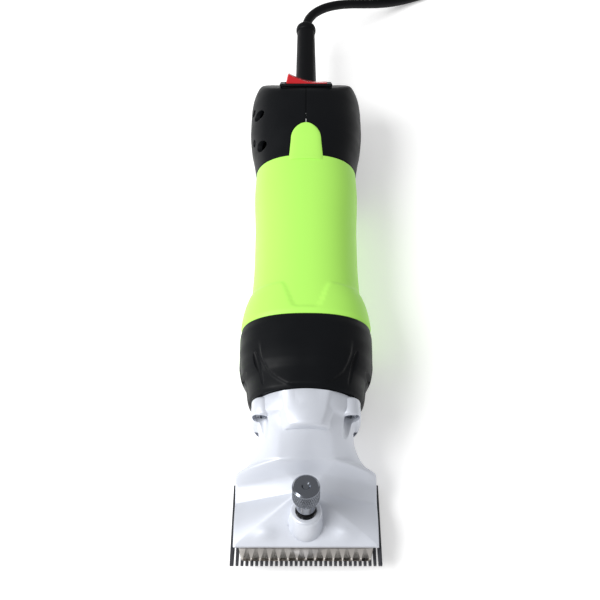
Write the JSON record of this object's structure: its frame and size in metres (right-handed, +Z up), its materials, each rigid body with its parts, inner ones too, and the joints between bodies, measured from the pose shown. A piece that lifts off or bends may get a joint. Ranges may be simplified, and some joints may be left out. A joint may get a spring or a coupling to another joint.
{
  "type": "electric sheep shears",
  "caption": "Hand-held electric sheep clipper: motor handle, gear collar, cast head with toothed comb and swinging cutter, knurled tension knob, rocker switch and mains lead.",
  "frame": {"origin": "on the surface that the tool rests on, under the middle of the tool from the comb's tips to the end of the strain relief", "axes": "+Z up, -Y the way the comb's teeth point, +Y along the level motor axis to the mains lead, +X to the right seen from the rear of the tool"},
  "size_m": [0.1628, 0.4966, 0.0614],
  "materials": {
    "green_shell": "lime green glass-filled nylon, fine satin mould texture",
    "black_plastic": "black glass-filled nylon, satin",
    "cast_aluminium": "die-cast aluminium with a satin silver finish",
    "knob_chrome": "dark nickel-chrome plated steel, knurled",
    "bright_steel": "turned and ground steel",
    "comb_steel": "dark hardened blade steel",
    "cutter_steel": "ground blade steel, light",
    "brass": "drawn brass",
    "copper": "enamelled copper wire",
    "laminations": "stacked electrical steel laminations, varnished",
    "carbon": "pressed carbon",
    "phenolic": "brown phenolic moulding",
    "red_plastic": "glossy red rocker",
    "soft_rubber": "black PVC and rubber",
    "bronze": "sintered bronze"
  },
  "bodies": {
    "root": {"motor_housing": "green_shell", "rear_cover_left": "black_plastic", "rear_cover_right": "black_plastic", "cover_screw_1": "bright_steel", "cover_screw_2": "bright_steel", "gear_collar": "black_plastic", "gear_case": "cast_aluminium", "head_casting": "cast_aluminium", "head_screw_upper_left": "knob_chrome", "head_screw_upper_right": "knob_chrome", "head_screw_lower_left": "knob_chrome", "head_screw_lower_right": "knob_chrome", "comb": "comb_steel", "comb_screw_left": "bright_steel", "comb_screw_right": "bright_steel", "fork_post": "bright_steel", "knob_o_ring": "soft_rubber", "pressure_cap": "bright_steel", "crank_bearing": "bright_steel", "crank_bush": "bronze", "bearing_plate": "cast_aluminium", "stator_core": "laminations", "field_coil_left": "copper", "field_coil_right": "copper", "armature_bearing_front": "bright_steel", "armature_bearing_rear": "bright_steel", "bearing_bracket": "phenolic", "brush_holder_left": "brass", "brush_holder_right": "brass", "brush_left": "carbon", "brush_right": "carbon", "brush_spring_left": "bright_steel", "brush_spring_right": "bright_steel", "switch_body": "black_plastic", "strain_relief": "soft_rubber", "cord_run": "soft_rubber", "cord_coil": "soft_rubber", "cord_tail": "soft_rubber", "plug_body": "black_plastic", "plug_pin_left": "brass", "plug_pin_right": "brass"},
    "armature": {"armature_shaft": "bright_steel", "armature_core": "laminations", "armature_winding_front": "copper", "armature_winding_rear": "copper", "commutator": "copper", "cooling_fan": "phenolic"},
    "crank": {"crank_shaft": "bright_steel", "crank_gear": "phenolic"},
    "roller": {"crank_roller": "bright_steel"},
    "swing_fork": {"drive_fork": "bright_steel", "cutter": "cutter_steel"},
    "tension_slide": {"tension_washer": "bright_steel", "tension_spring": "bright_steel"},
    "tension_knob": {"tension_knob": "knob_chrome"},
    "power_rocker": {"power_rocker": "red_plastic"}
  },
  "joints": [
    {"name": "armature_spin", "type": "hinge", "parent": "root", "child": "armature", "pos_m": [0, 0, 0.034], "axis": [0, 1, 0], "continuous": true},
    {"name": "crank_spin", "type": "hinge", "parent": "root", "child": "crank", "pos_m": [0, -0.09775, 0.019], "axis": [0, 1, 0], "continuous": true},
    {"name": "roller_spin", "type": "hinge", "parent": "crank", "child": "roller", "pos_m": [0, -0.09775, 0.0204], "axis": [0, 1, 0], "continuous": true},
    {"name": "fork_swing", "type": "hinge", "parent": "root", "child": "swing_fork", "pos_m": [0, -0.1219, 0.01188], "axis": [0, 0.225, 0.9744], "range_deg": [-3.65, 3.65]},
    {"name": "knob_travel", "type": "slide", "parent": "root", "child": "tension_slide", "axis": [0, 0.225, 0.9744], "range_m": [-0.001, 0.002]},
    {"name": "knob_turn", "type": "hinge", "parent": "tension_slide", "child": "tension_knob", "pos_m": [0, -0.15191, 0.03523], "axis": [0, 0.225, 0.9744], "range_deg": [-360, 720]},
    {"name": "rocker_tilt", "type": "hinge", "parent": "root", "child": "power_rocker", "pos_m": [0, 0.1066, 0.04985], "axis": [0, -0.7071, 0.7071], "range_deg": [0, 24]}
  ],
  "couplings": [
    {"joint": "crank_spin", "follows": "armature_spin", "ratio": -0.25},
    {"joint": "knob_turn", "follows": "knob_travel", "rad_per_m": 6283.2}
  ]
}
